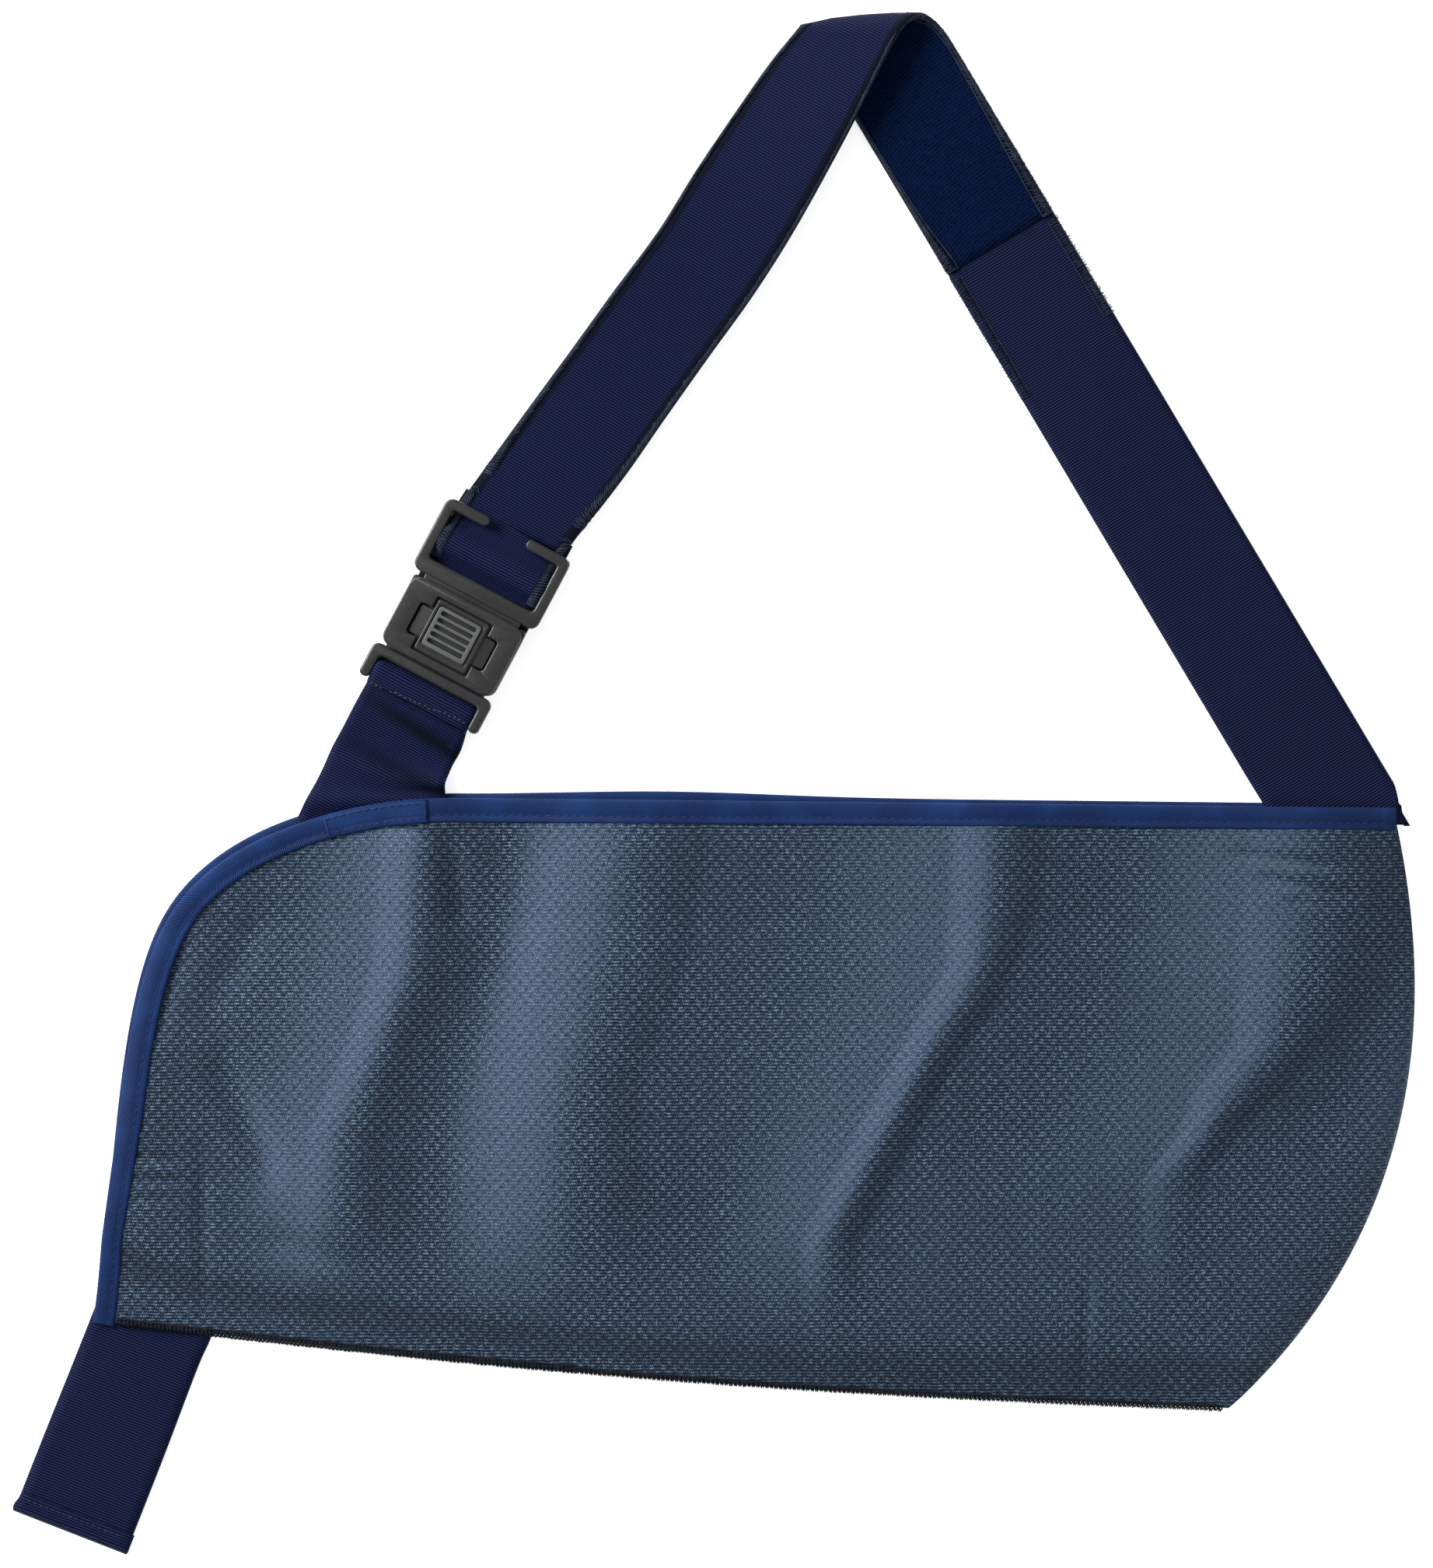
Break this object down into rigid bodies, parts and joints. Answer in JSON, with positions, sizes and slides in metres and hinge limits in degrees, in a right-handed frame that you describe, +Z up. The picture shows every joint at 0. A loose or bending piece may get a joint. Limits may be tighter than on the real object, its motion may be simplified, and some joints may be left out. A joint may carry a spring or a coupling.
{
  "type": "arm sling",
  "caption": "Mesh fabric arm pouch with a bound open edge, folded webbing neck strap, adjustable push-button buckle and a short webbing hand tab, lying flat.",
  "frame": {"origin": "on the surface the sling lies on, under the middle of its outline", "axes": "+Z up from the surface, +Y from the pouch towards the fold of the neck strap, +X towards the elbow end"},
  "size_m": [0.466, 0.5108, 0.0124],
  "materials": {
    "mesh_cloth": "matte knitted mesh",
    "binding_tape": "fine twill tape",
    "webbing": "ribbed webbing, low sheen",
    "brushed_pile": "brushed loop pile",
    "hook_tape": "fine hooks",
    "thread": "polyester thread",
    "buckle_plastic": "satin moulded plastic",
    "spring_steel": "thin spring strip"
  },
  "bodies": {
    "pouch": {"back_panel": "mesh_cloth", "front_panel": "mesh_cloth", "back_binding": "binding_tape", "front_binding": "binding_tape", "binding_overlap": "binding_tape", "binding_stitch": "thread", "bottom_seam": "thread", "elbow_seam": "mesh_cloth", "inner_hand_strap": "webbing", "hand_anchor_stitch": "thread", "elbow_anchor": "webbing", "elbow_anchor_stitch": "thread"},
    "strap_loop": {"right_strap": "webbing", "strap_fold": "webbing", "left_strap": "webbing", "pile_lining": "brushed_pile", "left_strap_overlock": "thread", "right_strap_overlock": "thread", "hand_strap": "webbing", "hand_strap_loop": "webbing", "hand_strap_stitch": "thread", "housing_base": "buckle_plastic", "housing_cover": "buckle_plastic", "spring_leaf": "spring_steel"},
    "button": {"push_button": "buckle_plastic"},
    "plug": {"plug": "buckle_plastic", "slider_strap": "webbing", "strap_tail": "webbing", "hook_patch": "hook_tape", "tail_stitch": "thread"},
    "tab": {"hand_tab": "webbing", "tab_hem": "webbing", "hem_stitch": "thread"}
  },
  "joints": [
    {"name": "strap_fold", "type": "hinge", "parent": "pouch", "child": "strap_loop", "pos_m": [0.04, -0.0015, 0.0055], "axis": [1, 0, 0], "range_deg": [0, 150]},
    {"name": "plug_release", "type": "slide", "parent": "strap_loop", "child": "plug", "axis": [0.4695, 0.8829, 0], "range_m": [0, 0.015]},
    {"name": "button_press", "type": "slide", "parent": "strap_loop", "child": "button", "axis": [0, 0, -1], "range_m": [0, 0.0014], "stiffness_N_per_m": 600, "springref_m": -0.0005},
    {"name": "tab_fold", "type": "hinge", "parent": "pouch", "child": "tab", "pos_m": [-0.188, -0.181, 0.0026], "axis": [-0.9936, 0.1134, 0], "range_deg": [0, 160]}
  ]
}
